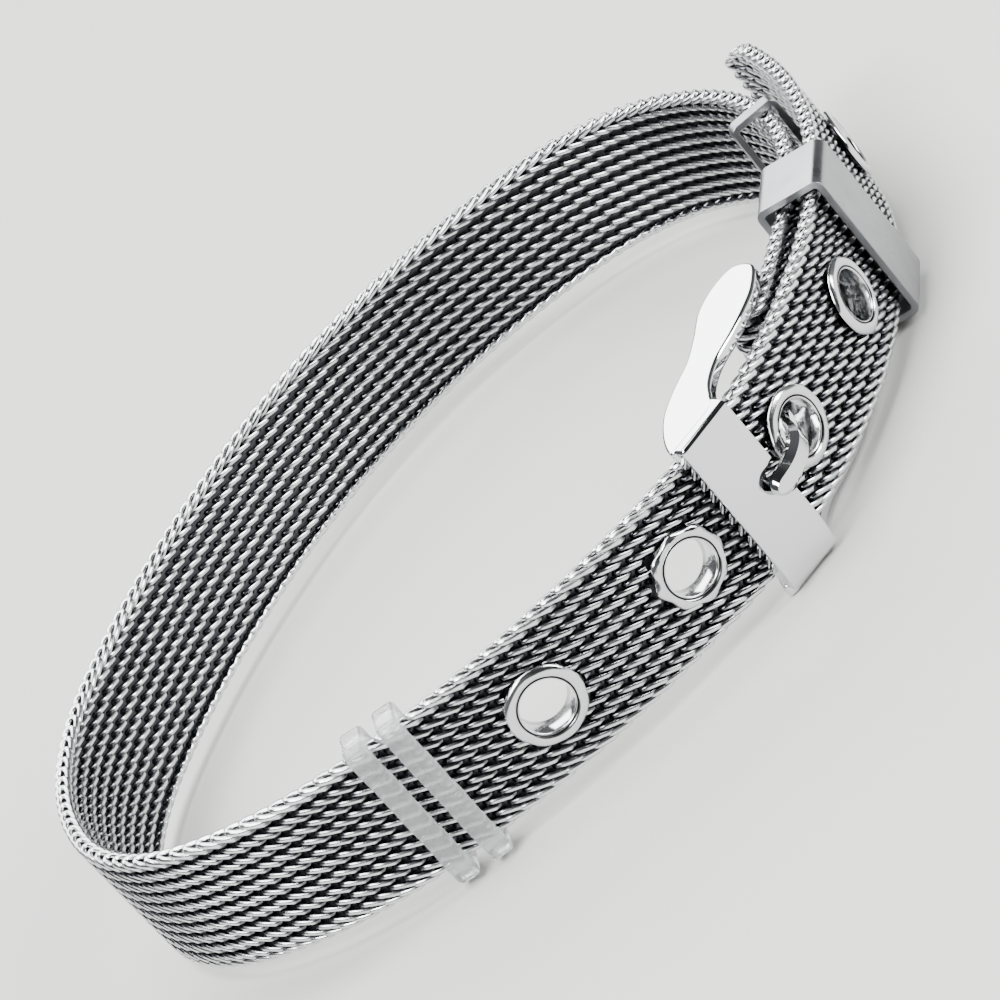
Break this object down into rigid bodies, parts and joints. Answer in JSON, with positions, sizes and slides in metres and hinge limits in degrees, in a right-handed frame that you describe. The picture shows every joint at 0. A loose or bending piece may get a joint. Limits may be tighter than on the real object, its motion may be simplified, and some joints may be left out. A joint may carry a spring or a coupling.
{
  "type": "mesh bracelet",
  "caption": "Woven steel mesh bracelet with a pin buckle, eyelets, sleeve keepers and clear stopper rings, closed and lying on its side.",
  "frame": {"origin": "centre of the bounding box on the surface that the bracelet lies on", "axes": "+Z across the band's width, upwards; the loop lies in XY with the eyelets and the buckle's front towards -Y and the buckle's fold towards +X"},
  "size_m": [0.0668, 0.0564, 0.0124],
  "materials": {
    "mesh_steel": "bright woven wire",
    "buckle_steel": "mirror polished",
    "pin_steel": "drawn wire",
    "tongue_steel": "polished",
    "eyelet_steel": "polished, rolled edge",
    "keeper_steel": "satin sheet",
    "clear_silicone": "frosted, translucent"
  },
  "bodies": {
    "root": {"mesh_band": "mesh_steel", "buckle_frame": "buckle_steel", "buckle_pin": "pin_steel", "buckle_tongue": "tongue_steel", "eyelet_1": "eyelet_steel", "eyelet_2": "eyelet_steel", "eyelet_3": "eyelet_steel", "eyelet_4": "eyelet_steel", "eyelet_5": "eyelet_steel", "keeper_sleeve": "keeper_steel", "keeper_loop": "keeper_steel", "stopper_ring_1": "clear_silicone", "stopper_ring_2": "clear_silicone"}
  },
  "joints": []
}
